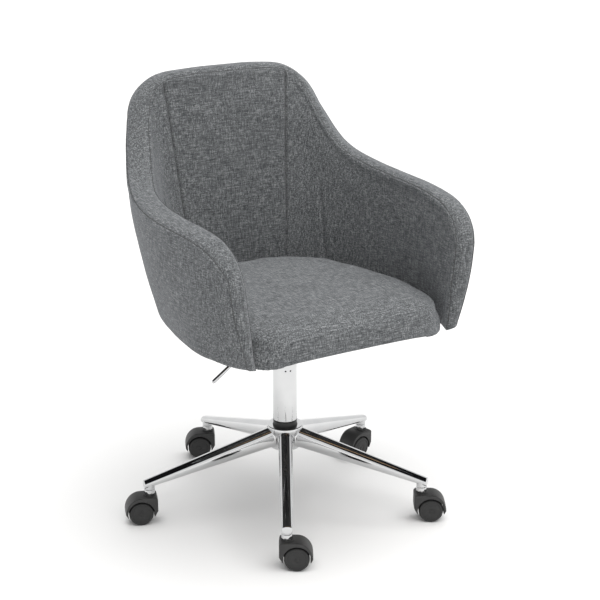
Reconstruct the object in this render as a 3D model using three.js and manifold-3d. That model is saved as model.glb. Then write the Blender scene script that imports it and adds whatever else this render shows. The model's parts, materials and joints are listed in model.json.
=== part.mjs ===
// Swivel office chair: an upholstered tub seat on a gas lift, with a five-leg chrome base on twin-wheel casters.
// Millimetres, +Z up. The origin is on the floor, on the swivel axis. The sitter faces -Y, and X = 0 is the
// tub's plane of symmetry. The base is turned under the seat, because it swivels freely.
import * as THREE from 'three';
import { mergeVertices } from 'three/addons/utils/BufferGeometryUtils.js';
import Module from 'manifold-3d';

const wasm = await Module();
wasm.setup();

// ---------------------------------------------------------------- driving dimensions
const GAP = 0.3; // clearance that touching pieces keep
const DEG = Math.PI / 180;

// five-leg base
const LEGS = 5;
const BASE_TURN = -119.8 * DEG; // direction of the first leg, from +X
const STEM_CIRCLE_R = 294;
const HUB = { r: 31, bore: 25, bottom: 127, top: 176.5 };
const LEG_ROOT = { halfWidth: 15.8, bottom: 130.5, top: 175.5 };
const LEG_TIP = { halfWidth: 11.2, bottom: 79, top: 96.5 };
const LEG_WALL = 2;
const SOCKET = { r: 11, bore: 5.9, bottom: 64.3, top: 97.2, cap: 4.5, bevel: 1.2 };
const BUSH = { inner: 22.9, bottom: 127.5, top: 187.2 };

// twin-wheel casters
const WHEEL_SIDES = 20;
const WHEEL_R = 25; // to the flats, so that the chair stands on a flat of each wheel
const WHEEL_WIDTH = 14;
const WHEEL_INNER = 7.6; // from the caster's middle plane to the wheel's inner face
const TRAIL = 19; // from the stem's axis to the axle
const AXLE_R = 3;
const AXLE_HALF = 17;
const CASTER_TURNS = [-31, -31, 195, 155, 160]; // trail direction of each caster at rest, in degrees from +X
const HOOD = {
  halfWidth: 20.4, innerR: 27.2, outerR: 31.5, top: 61.6, back: 15.4, backFoot: 32, tip: 18.5, tipEdge: 1.6,
  web: 6.6, lugR: 9, corner: 4,
};
const STEM = { r: 5.5, pivotR: 4.5, flangeR: 8.5, bottom: 37, top: 92, bevel: 1.5 };

// gas lift
const COLUMN = { r: 25, foot: 189, top: 336, bore: 19.2, taperR: 22.4, bottom: 126, floor: 3, rodHole: 6.2 };
const GUIDE = { r: 20, lipR: 23, lip: 2.4, depth: 45.5 }; // bush in a counterbore at the column's top
const CYLINDER = {
  r: 14, bottom: 160, top: 372, taperFrom: 343, taperTopR: 13.6, chamberR: 11, chamberBottom: 176,
  chamberTop: 340,
};
const ROD = { r: 5, neckR: 3.5, collarR: 7, collar: 2, pistonBottom: 292, top: 304 };
const BEARING = { r: 12, height: 6 };
const CLIP = { r: 8.5, drop: 2.2 };
const BUMPER_R = 10.5;
const PIN = { r: 3, bottom: 345 };

// seat mechanism
const PLATE = {
  halfX: 90, halfY: 75, top: 429.7, sheet: 2.5, boxX: 42, boxY: 36, boxFloor: 366, socketR: 18,
  slotHalf: 7, slotUp: 9, slotDown: 11,
};
const BOLT = { x: 72, y: 58, r: 4, headR: 7.2, head: 5.3, reach: 10 };
const LEVER = {
  r: 4, pivotX: -33, z: 383, bendX: -52, bendRun: 12, tipX: -166, tipZ: 304, innerX: 7,
  pinR: 3, knuckleR: 7, knuckleHalf: 6,
};

// tub and seat
const SEAT_LEVEL = 480; // height of the line where the cushion meets the walls
const TUB_BOTTOM = 430;
const WALL = { rim: 50, foot: 40, noseRim: 40, noseFoot: 19, belly: 7, crown: 10, armDrop: 8, slopeDrop: 20 };
const FRAME = { half: 4, depth: 0.5, top: 0.82, start: 0.05, slack: 0.5 };
const BOARD = 13;
const CUSHION = { crown: 493, front: -283, lip: 421 };
const POCKET = { side: 10, front: 12 }; // the board's inset from the wall's foot and from the front
const STRAP = { halfY: 15, sheet: 2.2 };
const STRAPS = [
  { name: 'frame_strap_front', y: -150, halfX: 258 },
  { name: 'frame_strap_rear', y: 98, halfX: 222 },
];
const COVER = { side: 12, front: 80, sheet: 1.3, holeMargin: 2 };
const FAR = 600; // longer than any bore or cut needs to be

// ---------------------------------------------------------------- materials
const finish = (color, roughness, metalness) => new THREE.MeshStandardMaterial({ color, roughness, metalness });
const CHROME = finish(0xd8dadc, 0.08, 1);
const STEEL = finish(0x9a9c9e, 0.4, 1);
const BLACK_STEEL = finish(0x1c1c1d, 0.5, 0.4);
const BLACK_PLASTIC = finish(0x1b1b1c, 0.55, 0);
const RUBBER = finish(0x141414, 0.8, 0);
const WOOD = finish(0xb98f5e, 0.7, 0);
const FABRIC = finish(0x6c6f72, 0.95, 0);
const DUST_CLOTH = finish(0x1a1a1a, 1, 0);

// ---------------------------------------------------------------- solids
// A closed geometry as a manifold solid, with only positions kept so that shared corners merge.
function solid(geometry) {
  const bare = geometry.index ? geometry.toNonIndexed() : geometry.clone();
  bare.deleteAttribute('normal');
  bare.deleteAttribute('uv');
  const merged = mergeVertices(bare, 1e-4);
  return new wasm.Manifold(new wasm.Mesh({
    numProp: 3,
    vertProperties: new Float32Array(merged.attributes.position.array),
    triVerts: new Uint32Array(merged.index.array),
  }));
}

function geometryOf(manifold) {
  const mesh = manifold.getMesh();
  const geometry = new THREE.BufferGeometry();
  geometry.setAttribute('position', new THREE.BufferAttribute(new Float32Array(mesh.vertProperties), 3));
  geometry.setIndex(new THREE.BufferAttribute(new Uint32Array(mesh.triVerts), 1));
  return geometry;
}

const cut = (body, ...tools) => tools.reduce((left, tool) => left.subtract(tool), body);
const join = (...bodies) => bodies.reduce((left, right) => left.add(right));

// A turned solid about Z from [radius, height] pairs listed counter-clockwise, with radius to the right.
function turned(points, sides = 24) {
  const profile = points.map(([r, z]) => new THREE.Vector2(r, z));
  const onAxis = profile[0].x === 0 && profile.at(-1).x === 0;
  if (!onAxis) profile.push(profile[0].clone());
  return new THREE.LatheGeometry(profile, sides).rotateX(Math.PI / 2);
}

// A ring about Z.
const ring = (inner, outer, bottom, top, sides) => turned(
  [[inner, bottom], [outer, bottom], [outer, top], [inner, top]], sides);

// The corner radius of a polygon whose flats are at the radius r.
const cornerR = (r, sides) => r / Math.cos(Math.PI / sides);

// A round bar about Z, used for pins and for bores.
const bar = (r, bottom, top, sides = 12) => turned([[0, bottom], [r, bottom], [r, top], [0, top]], sides);

const block = (x0, x1, y0, y1, z0, z1) => new THREE.BoxGeometry(x1 - x0, y1 - y0, z1 - z0)
  .translate((x0 + x1) / 2, (y0 + y1) / 2, (z0 + z1) / 2);

// A shape in the XZ plane, extruded the same distance to both sides along Y.
function slab(shape, halfWidth, curveSegments = 12) {
  const options = { depth: 2 * halfWidth, bevelEnabled: false, curveSegments };
  return new THREE.ExtrudeGeometry(shape, options).translate(0, 0, -halfWidth).rotateX(Math.PI / 2);
}

// A solid through rings of points that all have the same number of corners, with flat ends.
function lofted(rings) {
  const positions = [];
  const quad = (a, b, c, d) => [a, b, c, a, c, d].forEach((p) => positions.push(p.x, p.y, p.z));
  const count = rings[0].length;
  for (let i = 0; i + 1 < rings.length; i += 1) {
    for (let j = 0; j < count; j += 1) {
      const next = (j + 1) % count;
      quad(rings[i][j], rings[i][next], rings[i + 1][next], rings[i + 1][j]);
    }
  }
  const fan = (points, flip) => {
    const middle = points.reduce((sum, p) => sum.add(p), new THREE.Vector3()).divideScalar(count);
    points.forEach((p, j) => {
      const q = points[(j + 1) % count];
      (flip ? [middle, q, p] : [middle, p, q]).forEach((v) => positions.push(v.x, v.y, v.z));
    });
  };
  fan(rings[0], true);
  fan(rings.at(-1), false);
  const geometry = new THREE.BufferGeometry();
  geometry.setAttribute('position', new THREE.Float32BufferAttribute(positions, 3));
  return geometry;
}

const chair = new THREE.Group();

function add(name, shape, material, parent = chair) {
  const mesh = new THREE.Mesh(shape.isBufferGeometry ? shape : geometryOf(shape), material);
  mesh.name = name;
  parent.add(mesh);
  return mesh;
}

// ---------------------------------------------------------------- five-leg base
const base = new THREE.Group();
chair.add(base);

// A rounded upright section of a leg in the YZ plane at distance x from the axis.
function legSection(x, end, inset = 0) {
  const sides = 12;
  const squareness = 0.8; // below 1 the oval fills out towards its corners
  const halfHeight = (end.top - end.bottom) / 2 - inset;
  const middle = (end.top + end.bottom) / 2;
  return Array.from({ length: sides }, (_, i) => {
    const angle = (i / sides) * 2 * Math.PI;
    const bent = (value) => Math.sign(value) * Math.abs(value) ** squareness;
    return new THREE.Vector3(
      x,
      (end.halfWidth - inset) * bent(Math.cos(angle)),
      middle + halfHeight * bent(Math.sin(angle)),
    );
  });
}

// A tapered oval tube, saddled round the hub at its root and round the caster socket at its tip.
function legSolid() {
  const root = HUB.r - 8;
  const tip = STEM_CIRCLE_R - 5;
  const hubSides = 32;
  const socketSides = 24;
  const outside = solid(lofted([legSection(root, LEG_ROOT), legSection(tip, LEG_TIP)]));
  const insideRings = [legSection(root - 1, LEG_ROOT, LEG_WALL), legSection(tip + 1, LEG_TIP, LEG_WALL)];
  const inside = solid(lofted(insideRings));
  const hubClear = solid(bar(cornerR(HUB.r + GAP, hubSides), 0, FAR, hubSides));
  const socketClear = solid(bar(cornerR(SOCKET.r + GAP, socketSides), 0, FAR, socketSides)
    .translate(STEM_CIRCLE_R, 0, 0));
  return cut(outside, inside, hubClear, socketClear);
}

// The swivelling hood over one pair of wheels, with its stem axis on Z and its wheels towards +X.
function hoodShape() {
  const shape = new THREE.Shape();
  const tipAngle = Math.asin((HOOD.tip - WHEEL_R) / HOOD.innerR);
  const tipReach = HOOD.innerR * Math.cos(tipAngle);
  shape.moveTo(-HOOD.back, HOOD.backFoot);
  shape.lineTo(TRAIL - tipReach - HOOD.tipEdge, HOOD.tip);
  shape.lineTo(TRAIL - tipReach, HOOD.tip);
  shape.absarc(TRAIL, WHEEL_R, HOOD.innerR, Math.PI - tipAngle, tipAngle, true);
  shape.lineTo(TRAIL + tipReach + HOOD.tipEdge, HOOD.tip);
  shape.absellipse(TRAIL, WHEEL_R, HOOD.outerR, HOOD.top - WHEEL_R, 0, Math.PI / 2, false);
  shape.lineTo(-HOOD.back + HOOD.corner, HOOD.top);
  shape.quadraticCurveTo(-HOOD.back, HOOD.top, -HOOD.back, HOOD.top - HOOD.corner);
  shape.closePath();
  return shape;
}

function hoodSolid() {
  const arch = solid(slab(hoodShape(), HOOD.halfWidth, 7));
  const onAxle = (geometry) => solid(geometry.rotateX(Math.PI / 2).translate(TRAIL, 0, WHEEL_R));
  const rib = solid(block(-10, TRAIL + 11, -HOOD.web, HOOD.web, WHEEL_R, WHEEL_R + HOOD.innerR - 1));
  const lug = onAxle(bar(HOOD.lugR, -HOOD.web, HOOD.web, 16));
  const axleBore = onAxle(bar(AXLE_R + GAP, -FAR, FAR, 12));
  const stemBore = solid(bar(STEM.pivotR + GAP, STEM.bottom - 1, FAR, 16));
  return cut(join(arch, rib, lug), axleBore, stemBore);
}

// One wheel about Z, its inner face at z = 0, with a dished outer face and a blind bore for the axle.
function wheelGeometry() {
  const corner = cornerR(WHEEL_R, WHEEL_SIDES);
  const bore = AXLE_R + GAP;
  const out = WHEEL_WIDTH;
  const wall = 4;
  const dish = 1.5;
  const profile = [
    [0, out - wall], [bore, out - wall], [bore, 0], [corner, 0], [corner, out - wall], [corner - 2.5, out],
    [corner - 7, out], [corner - 7 - dish, out - dish], [0, out - dish],
  ];
  return turned(profile, WHEEL_SIDES).rotateZ(Math.PI / WHEEL_SIDES);
}

// The stem's flange carries the leg's load down on to the hood, which swivels on the pivot below it.
const stemProfile = [
  [0, STEM.bottom], [STEM.pivotR, STEM.bottom], [STEM.pivotR, HOOD.top + GAP], [STEM.flangeR, HOOD.top + GAP],
  [STEM.flangeR, SOCKET.bottom - GAP], [STEM.r, SOCKET.bottom - GAP], [STEM.r, STEM.top - STEM.bevel],
  [STEM.r - STEM.bevel, STEM.top], [0, STEM.top],
];

add('hub', turned([[HUB.bore, HUB.bottom], [HUB.r, HUB.bottom], [HUB.r, HUB.top - 1],
  [HUB.r - 1, HUB.top], [HUB.bore, HUB.top]], 28), CHROME, base);
add('hub_bush', ring(BUSH.inner, HUB.bore - GAP, BUSH.bottom, BUSH.top, 24), BLACK_PLASTIC, base);

const hoodGeometry = geometryOf(hoodSolid());
const legGeometry = geometryOf(legSolid());
for (let i = 0; i < LEGS; i += 1) {
  const number = i + 1;
  const arm = new THREE.Group();
  arm.rotation.z = BASE_TURN + (i * 2 * Math.PI) / LEGS;
  base.add(arm);
  add(`leg_${number}`, legGeometry, CHROME, arm);

  const end = new THREE.Group();
  end.position.x = STEM_CIRCLE_R;
  arm.add(end);
  add(`leg_socket_${number}`, turned([
    [0, SOCKET.top - SOCKET.cap], [SOCKET.bore, SOCKET.top - SOCKET.cap], [SOCKET.bore, SOCKET.bottom],
    [SOCKET.r, SOCKET.bottom], [SOCKET.r, SOCKET.top - SOCKET.bevel], [SOCKET.r - SOCKET.bevel, SOCKET.top],
    [0, SOCKET.top],
  ], 16), CHROME, end);
  add(`caster_stem_${number}`, turned(stemProfile, 12), STEEL, end);

  const caster = new THREE.Group();
  caster.rotation.z = CASTER_TURNS[i] * DEG - arm.rotation.z;
  end.add(caster);
  add(`caster_hood_${number}`, hoodGeometry, BLACK_PLASTIC, caster);

  const axle = new THREE.Group();
  axle.position.set(TRAIL, 0, WHEEL_R);
  axle.rotation.x = Math.PI / 2;
  caster.add(axle);
  add(`wheel_axle_${number}`, bar(AXLE_R, -AXLE_HALF, AXLE_HALF, 12), STEEL, axle);
  [1, -1].forEach((side) => {
    const wheel = add(`wheel_${number}${side > 0 ? 'a' : 'b'}`, wheelGeometry(), BLACK_PLASTIC, axle);
    wheel.position.z = side * WHEEL_INNER;
    if (side < 0) wheel.rotation.x = Math.PI;
  });
}

// ---------------------------------------------------------------- gas lift
const floorTop = COLUMN.bottom + COLUMN.floor;
const counterbore = COLUMN.top - GUIDE.depth - 0.5;
add('column_tube', turned([
  [COLUMN.rodHole, COLUMN.bottom], [COLUMN.taperR - 0.4, COLUMN.bottom], [COLUMN.taperR, COLUMN.foot - 1.5],
  [COLUMN.r, COLUMN.foot], [COLUMN.r, COLUMN.top - 1], [COLUMN.r - 1, COLUMN.top],
  [GUIDE.r + GAP, COLUMN.top], [GUIDE.r + GAP, counterbore], [COLUMN.bore, counterbore],
  [COLUMN.bore, floorTop], [COLUMN.rodHole, floorTop],
], 24), CHROME);
add('guide_bush', turned([
  [CYLINDER.r + GAP, COLUMN.top - GUIDE.depth], [GUIDE.r, COLUMN.top - GUIDE.depth],
  [GUIDE.r, COLUMN.top + GAP], [GUIDE.lipR, COLUMN.top + GAP], [GUIDE.lipR - 0.6, COLUMN.top + GUIDE.lip],
  [CYLINDER.r + GAP, COLUMN.top + GUIDE.lip],
], 24), BLACK_PLASTIC);
const bearingTop = floorTop + BEARING.height;
add('thrust_bearing', ring(ROD.r + GAP, BEARING.r, floorTop + GAP, bearingTop, 24), STEEL);
add('retaining_clip', ring(ROD.neckR + GAP, CLIP.r, COLUMN.bottom - CLIP.drop, COLUMN.bottom - GAP, 20), STEEL);

const collarBottom = bearingTop + GAP;
const collarTop = collarBottom + ROD.collar;
const rodFoot = COLUMN.bottom - 5;
const pistonR = CYLINDER.chamberR - GAP;
add('piston_rod', turned([
  [0, rodFoot], [ROD.neckR, rodFoot], [ROD.neckR, floorTop + 1], [ROD.r, floorTop + 1],
  [ROD.r, collarBottom], [ROD.collarR, collarBottom], [ROD.collarR, collarTop], [ROD.r, collarTop],
  [ROD.r, ROD.pistonBottom], [pistonR, ROD.pistonBottom], [pistonR, ROD.top], [0, ROD.top],
], 16), STEEL);
add('rubber_bumper', ring(ROD.r + GAP, BUMPER_R, collarTop + GAP, CYLINDER.bottom - GAP, 20), RUBBER);
add('gas_cylinder', turned([
  [ROD.r + GAP, CYLINDER.bottom], [CYLINDER.r, CYLINDER.bottom], [CYLINDER.r, CYLINDER.taperFrom],
  [CYLINDER.taperTopR, CYLINDER.top], [PIN.r + GAP, CYLINDER.top], [PIN.r + GAP, CYLINDER.chamberTop],
  [CYLINDER.chamberR, CYLINDER.chamberTop], [CYLINDER.chamberR, CYLINDER.chamberBottom],
  [ROD.r + GAP, CYLINDER.chamberBottom],
], 20), BLACK_STEEL);
add('release_pin', bar(PIN.r, PIN.bottom, LEVER.z - LEVER.r - GAP, 16), STEEL);

// ---------------------------------------------------------------- seat mechanism
add('taper_socket', turned([
  [CYLINDER.r + GAP, CYLINDER.taperFrom], [PLATE.socketR, CYLINDER.taperFrom],
  [PLATE.socketR, CYLINDER.top - 1], [CYLINDER.taperTopR + GAP, CYLINDER.top - 1],
], 32), STEEL);

const flangeBottom = PLATE.top - PLATE.sheet;
const boxOutside = [-PLATE.boxX, PLATE.boxX, -PLATE.boxY, PLATE.boxY];
const boxInside = boxOutside.map((v) => v - Math.sign(v) * PLATE.sheet);
const boltPlaces = [[-1, -1], [1, -1], [1, 1], [-1, 1]].map(([x, y]) => [x * BOLT.x, y * BOLT.y]);
const atPivot = (geometry) => geometry.rotateX(Math.PI / 2).translate(LEVER.pivotX, 0, LEVER.z);
const leverSlot = block(
  -PLATE.boxX - 1, -PLATE.boxX + PLATE.sheet + 1, -PLATE.slotHalf, PLATE.slotHalf,
  LEVER.z - PLATE.slotDown, LEVER.z + PLATE.slotUp);
const boreTop = TUB_BOTTOM + BOLT.reach + 2 * GAP;
const boltBore = ([x, y]) => solid(bar(BOLT.r + GAP, 0, boreTop, 16).translate(x, y, 0));
const plate = cut(
  join(
    solid(block(-PLATE.halfX, PLATE.halfX, -PLATE.halfY, PLATE.halfY, flangeBottom, PLATE.top)),
    solid(block(...boxOutside, PLATE.boxFloor, PLATE.top)),
  ),
  solid(block(...boxInside, PLATE.boxFloor + PLATE.sheet, FAR)),
  solid(bar(PLATE.socketR + GAP, 0, PLATE.boxFloor + PLATE.sheet + 1, 32)),
  solid(leverSlot),
  solid(atPivot(bar(LEVER.pinR + GAP, -FAR, FAR, 16))),
  ...boltPlaces.map(boltBore),
);
add('seat_plate', plate, BLACK_STEEL);
boltPlaces.forEach(([x, y], i) => {
  const head = solid(bar(BOLT.headR, flangeBottom - GAP - BOLT.head, flangeBottom - GAP, 6));
  const shank = solid(bar(BOLT.r, flangeBottom - GAP - 1, TUB_BOTTOM + BOLT.reach, 16));
  const bolt = add(`seat_bolt_${i + 1}`, join(head, shank), STEEL);
  bolt.position.set(x, y, 0);
});
add('lever_pin', atPivot(bar(LEVER.pinR, -PLATE.boxY - 3, PLATE.boxY + 3, 16)), STEEL);

// The lever runs level over the release pin, then bends down and out under the seat's right side.
function leverSolid() {
  const path = new THREE.CurvePath();
  const slope = new THREE.Vector3(LEVER.tipX - LEVER.bendX, 0, LEVER.tipZ - LEVER.z).normalize();
  const bend = new THREE.Vector3(LEVER.bendX, 0, LEVER.z);
  const before = bend.clone().setX(LEVER.bendX + LEVER.bendRun);
  const after = bend.clone().addScaledVector(slope, LEVER.bendRun);
  const tip = new THREE.Vector3(LEVER.tipX, 0, LEVER.tipZ);
  path.add(new THREE.LineCurve3(new THREE.Vector3(LEVER.innerX, 0, LEVER.z), before));
  path.add(new THREE.QuadraticBezierCurve3(before, bend, after));
  path.add(new THREE.LineCurve3(after, tip));
  const circle = new THREE.Shape().absarc(0, 0, LEVER.r, 0, 2 * Math.PI, false);
  const rod = new THREE.ExtrudeGeometry(circle, { extrudePath: path, steps: 7, curveSegments: 4 });
  const barrel = atPivot(bar(LEVER.knuckleR, -LEVER.knuckleHalf, LEVER.knuckleHalf, 20));
  const bore = atPivot(bar(LEVER.pinR + GAP, -FAR, FAR, 16));
  const end = new THREE.SphereGeometry(LEVER.r, 8, 6).translate(LEVER.tipX, 0, LEVER.tipZ);
  return cut(join(solid(rod), solid(barrel), solid(end)), solid(bore));
}
add('height_lever', leverSolid(), CHROME);

// ---------------------------------------------------------------- tub
// Half of the tub, from the middle of the back round to the arm's front edge. Each station pairs a point of the
// line where the cushion meets the wall [x, y], at SEAT_LEVEL, with a point of the rim's inner edge [x, y, z].
const STATIONS = [
  [[0, 201], [0, 239, 880]],
  [[56, 198], [76, 239, 879]],
  [[106, 186], [136, 238, 872]],
  [[142, 167], [171, 231, 847]],
  [[169, 141], [189, 210, 803]],
  [[190, 112], [204, 178, 753]],
  [[206, 77], [222, 136, 711]],
  [[219, 36], [241, 78, 687]],
  [[230, -22], [253, 5, 677]],
  [[238, -85], [255, -75, 673]],
  [[240, -140], [250, -142, 669]],
  [[234, -195], [243, -200, 659]],
  [[227, -235], [238, -240, 634]],
  [[220, -260], [233, -258, 598]],
];
const leftStations = STATIONS.slice(1).reverse().map(([[a, b], [c, d, e]]) => [[-a, b], [-c, d, e]]);
const mirrored = [...leftStations, ...STATIONS];
const spline = (points) => new THREE.CatmullRomCurve3(points, false, 'catmullrom', 0.5);
const seatLine = spline(mirrored.map(([[x, y]]) => new THREE.Vector3(x, y, SEAT_LEVEL)));
const rimLine = spline(mirrored.map(([, [x, y, z]]) => new THREE.Vector3(x, y, z)));

// The rim's outer edge drops below its inner edge on the arms, and more on the slopes between arm and back.
function rimDrop(z) {
  const { lerp, smoothstep } = THREE.MathUtils;
  return lerp(WALL.armDrop, WALL.slopeDrop, smoothstep(z, 680, 740)) * (1 - smoothstep(z, 790, 870));
}

// 1 at the arms' front edges, where the wall is thinner, and 0 from the middle of the arms backwards.
const noseShare = (t) => THREE.MathUtils.smoothstep(Math.abs(2 * t - 1), 0.8, 1);

// A point of the wall: t runs along the rim, v up the wall (0 at the bottom edge), depth from 0 on the inner
// face to 1 on the outer face.
function wallPoint(t, v, depth) {
  const foot = seatLine.getPoint(t);
  const rim = rimLine.getPoint(t);
  const up = rim.clone().sub(foot);
  const inner = foot.clone().addScaledVector(up, THREE.MathUtils.lerp((TUB_BOTTOM - SEAT_LEVEL) / up.z, 1, v));
  const along = seatLine.getTangent(t).add(rimLine.getTangent(t)).setZ(0).normalize();
  const outward = new THREE.Vector3(-along.y, along.x, 0);
  const { lerp } = THREE.MathUtils;
  const nose = noseShare(t);
  const thickness = lerp(lerp(WALL.foot, WALL.noseFoot, nose), lerp(WALL.rim, WALL.noseRim, nose), v)
    + WALL.belly * 4 * v * (1 - v);
  return inner.addScaledVector(outward, depth * thickness).setZ(inner.z - rimDrop(rim.z) * v * depth);
}

const steps = (from, to, count) => Array.from({ length: count + 1 }, (_, i) => from + ((to - from) * i) / count);

// The wall between two depths as one closed solid, its rim crowned where crown is above 0.
function wallSolid(places, levels, [d0, d1], crown) {
  const rings = places.map((t) => {
    const up = wallPoint(t, 1, 0).sub(wallPoint(t, 0, 0)).normalize();
    const top = wallPoint(t, levels.at(-1), (d0 + d1) / 2).addScaledVector(up, crown);
    const outside = levels.map((v) => wallPoint(t, v, d1));
    const inside = levels.map((v) => wallPoint(t, v, d0)).reverse();
    return [...outside, top, ...inside];
  });
  return lofted(rings);
}

// The plywood frame stands in a slot of the padding, which is open at the bottom and clear of it all round.
const frameDepths = (slack) => [-1, 1].map((side) => FRAME.depth + (side * (FRAME.half + slack)) / WALL.foot);
const framePlaces = steps(FRAME.start, 1 - FRAME.start, 24);
const frameLevels = steps(0.004, FRAME.top, 2);
const slotPlaces = [FRAME.start - 0.004, ...framePlaces, 1.004 - FRAME.start];
const slotLevels = [-0.1, ...frameLevels, FRAME.top + 0.01];
const slot = wallSolid(slotPlaces, slotLevels, frameDepths(FRAME.slack), 0);
const shell = wallSolid(steps(0, 1, 36), steps(0, 1, 4), [0, 1], WALL.crown);
add('tub_shell', cut(solid(shell), solid(slot)), FABRIC);
add('tub_frame', wallSolid(framePlaces, frameLevels, frameDepths(0), 0), WOOD);

// ---------------------------------------------------------------- seat
// The seat's plan outline as [x, y] pairs, counter-clockwise, clear of the wall's foot at the sides and bowed
// out at the front.
function seatOutline(sideInset, frontInset, depth = 0) {
  const sides = 20;
  const line = Array.from({ length: sides + 1 }, (_, i) => {
    const t = THREE.MathUtils.lerp(0.03, 0.97, i / sides);
    const edge = wallPoint(t, 0, depth);
    const middle = new THREE.Vector3(0, -40, edge.z);
    const inward = middle.sub(edge).normalize();
    return edge.addScaledVector(inward, sideInset);
  });
  const half = line.at(-1).x;
  const corner = line.at(-1).y + 0.2 * frontInset;
  const fronts = 14;
  const front = Array.from({ length: fronts - 1 }, (_, i) => {
    const x = half * (1 - (2 * (i + 1)) / fronts);
    const bow = 1 - Math.abs(x / half) ** 8;
    return new THREE.Vector3(x, THREE.MathUtils.lerp(corner, CUSHION.front + frontInset, bow), 0);
  });
  return [...line, ...front].map(({ x, y }) => [x, y]).reverse();
}

const flatShape = (outline) => new THREE.Shape(outline.map(([x, y]) => new THREE.Vector2(x, y)));
const sheetOf = (shape, bottom, top) => new THREE.ExtrudeGeometry(
  shape, { depth: top - bottom, bevelEnabled: false }).translate(0, 0, bottom);

const boardTop = TUB_BOTTOM + BOARD;
const boardSolid = solid(sheetOf(flatShape(seatOutline(POCKET.side, POCKET.front)), TUB_BOTTOM, boardTop));
add('seat_board', cut(boardSolid, ...boltPlaces.map(boltBore)), WOOD);

// Levels of the cushion as [height, inset at the sides, inset at the front], up to its crown.
const CUSHION_LEVELS = [
  [CUSHION.lip, 2, 5], [434, 2, 1], [456, 2, 0], [470, 2, 3], [479, 5, 12], [486, 18, 32], [491, 50, 70],
  [CUSHION.crown, 100, 130],
];
// Only the front of the cushion hangs below the board.
const lipShare = (y) => THREE.MathUtils.smoothstep(-y, 231, 253);
const cushionHeight = (z, y) => THREE.MathUtils.lerp(Math.max(z, TUB_BOTTOM), z, lipShare(y));
const cushionRings = CUSHION_LEVELS.map(([z, side, front]) => seatOutline(side, front)
  .map(([x, y]) => new THREE.Vector3(x, y, cushionHeight(z, y))));
const pocketShape = flatShape(seatOutline(POCKET.side - GAP, POCKET.front - GAP));
add('seat_cushion', cut(solid(lofted(cushionRings)), solid(sheetOf(pocketShape, 0, boardTop + GAP))), FABRIC);

const strapTop = TUB_BOTTOM - GAP;
STRAPS.forEach(({ name, y, halfX }) => {
  const bottom = strapTop - STRAP.sheet;
  add(name, block(-halfX, halfX, y - STRAP.halfY, y + STRAP.halfY, bottom, strapTop), BLACK_STEEL);
});
const holeX = PLATE.halfX + COVER.holeMargin;
const holeY = PLATE.halfY + COVER.holeMargin;
const coverHole = block(-holeX, holeX, -holeY, holeY, 0, FAR);
const coverTop = strapTop - STRAP.sheet - GAP;
const cover = sheetOf(flatShape(seatOutline(COVER.side, COVER.front, 1)), coverTop - COVER.sheet, coverTop);
add('dust_cover', cut(solid(cover), solid(coverHole)), DUST_CLOTH);

export default chair;
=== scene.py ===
"""Swivel office chair: the visual model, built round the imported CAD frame.

Metres, +Z up, unless a comment says mm. The swivel axis is the Z axis, the sitter faces -Y, and X = 0 is the
tub's plane of symmetry.
"""
import json
import math

import bmesh
import bpy
import numpy as np
from mathutils import Euler, Matrix, Vector, noise


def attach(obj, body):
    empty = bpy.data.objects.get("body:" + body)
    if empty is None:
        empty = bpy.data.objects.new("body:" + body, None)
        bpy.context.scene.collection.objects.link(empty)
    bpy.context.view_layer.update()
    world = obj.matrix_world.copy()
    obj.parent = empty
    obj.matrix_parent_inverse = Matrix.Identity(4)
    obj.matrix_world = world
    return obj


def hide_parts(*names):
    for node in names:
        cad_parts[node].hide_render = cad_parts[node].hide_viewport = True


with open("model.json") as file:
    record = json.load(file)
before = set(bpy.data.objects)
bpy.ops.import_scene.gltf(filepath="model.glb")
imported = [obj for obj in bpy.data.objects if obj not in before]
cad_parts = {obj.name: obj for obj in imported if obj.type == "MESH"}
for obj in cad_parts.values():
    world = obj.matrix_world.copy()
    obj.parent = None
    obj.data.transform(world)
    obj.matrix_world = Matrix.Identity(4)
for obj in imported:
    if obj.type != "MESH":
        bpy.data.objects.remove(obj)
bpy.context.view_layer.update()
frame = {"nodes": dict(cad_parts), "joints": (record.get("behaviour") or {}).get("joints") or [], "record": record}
JOINTS = {joint["name"]: joint for joint in frame["joints"]}
MM = 0.001

# ---------------------------------------------------------------- camera, light and floor
CAMERA_AZIMUTH, CAMERA_PITCH = -31.0, 18.493  # degrees
CAMERA_PLACE = (0.0312, -2.9101, 1.4214)  # before the turn by the azimuth
CAMERA_LENS, SENSOR = 90.6, 36.0
COVE_TOP = 0.44  # sine of the elevation where the white cove ends
CEILING_START = COVE_TOP + 0.05
CEILING = (0.010, 0.010, 0.011)
FLOOR_HALF = 30.0
FLOOR_GREY = (0.70, 0.70, 0.70, 1)


def make_camera():
    camera = bpy.data.objects.new("camera", bpy.data.cameras.new("camera"))
    bpy.context.scene.collection.objects.link(camera)
    turn = math.radians(CAMERA_AZIMUTH)
    camera.location = Matrix.Rotation(turn, 4, "Z") @ Vector(CAMERA_PLACE)
    camera.rotation_euler = Euler((math.pi / 2 - math.radians(CAMERA_PITCH), 0, turn))
    camera.data.lens, camera.data.sensor_width = CAMERA_LENS, SENSOR
    bpy.context.scene.camera = camera


def aim(azimuth, elevation):
    """The direction seen from the chair at these angles in degrees; azimuth 0 is the sitter's front."""
    a, e = math.radians(azimuth), math.radians(elevation)
    return Vector((math.sin(a) * math.cos(e), -math.cos(a) * math.cos(e), math.sin(e)))


def sun(name, azimuth, elevation, spread, power, colour=(1, 1, 1)):
    """A very soft sun, hidden from reflections so that chrome keeps the ceiling's dark bands."""
    light = bpy.data.objects.new(name, bpy.data.lights.new(name, "SUN"))
    bpy.context.scene.collection.objects.link(light)
    light.rotation_euler = (-aim(azimuth, elevation)).to_track_quat("-Z", "Y").to_euler()
    light.data.angle = math.radians(spread)
    light.data.energy = power
    light.data.color = colour
    light.visible_glossy = False


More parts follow.
